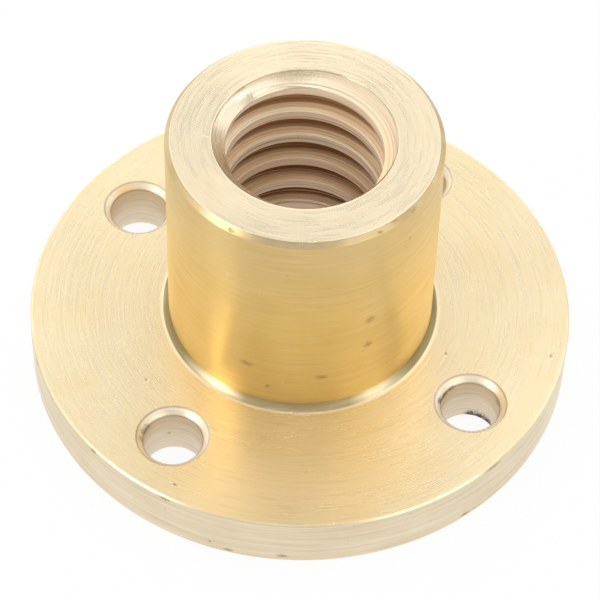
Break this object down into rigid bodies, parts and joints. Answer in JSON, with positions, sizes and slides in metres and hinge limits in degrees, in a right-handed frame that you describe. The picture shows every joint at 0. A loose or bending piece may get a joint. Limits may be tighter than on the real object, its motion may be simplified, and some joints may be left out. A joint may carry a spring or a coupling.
{
  "type": "lead screw nut",
  "caption": "Flanged brass nut with a trapezoidal internal thread for a lead screw, a plain barrel and a ring of countersunk screw holes.",
  "frame": {"origin": "centre of the flange's underside, on the bore axis", "axes": "+Z along the bore axis from the flange towards the barrel's free end; a screw hole lies at 45 degrees between +X and +Y"},
  "size_m": [0.032, 0.032, 0.0181],
  "materials": {
    "brass": "turned and drilled brass, satin, with light scratches and small dents"
  },
  "bodies": {
    "root": {"nut": "brass"}
  },
  "joints": []
}
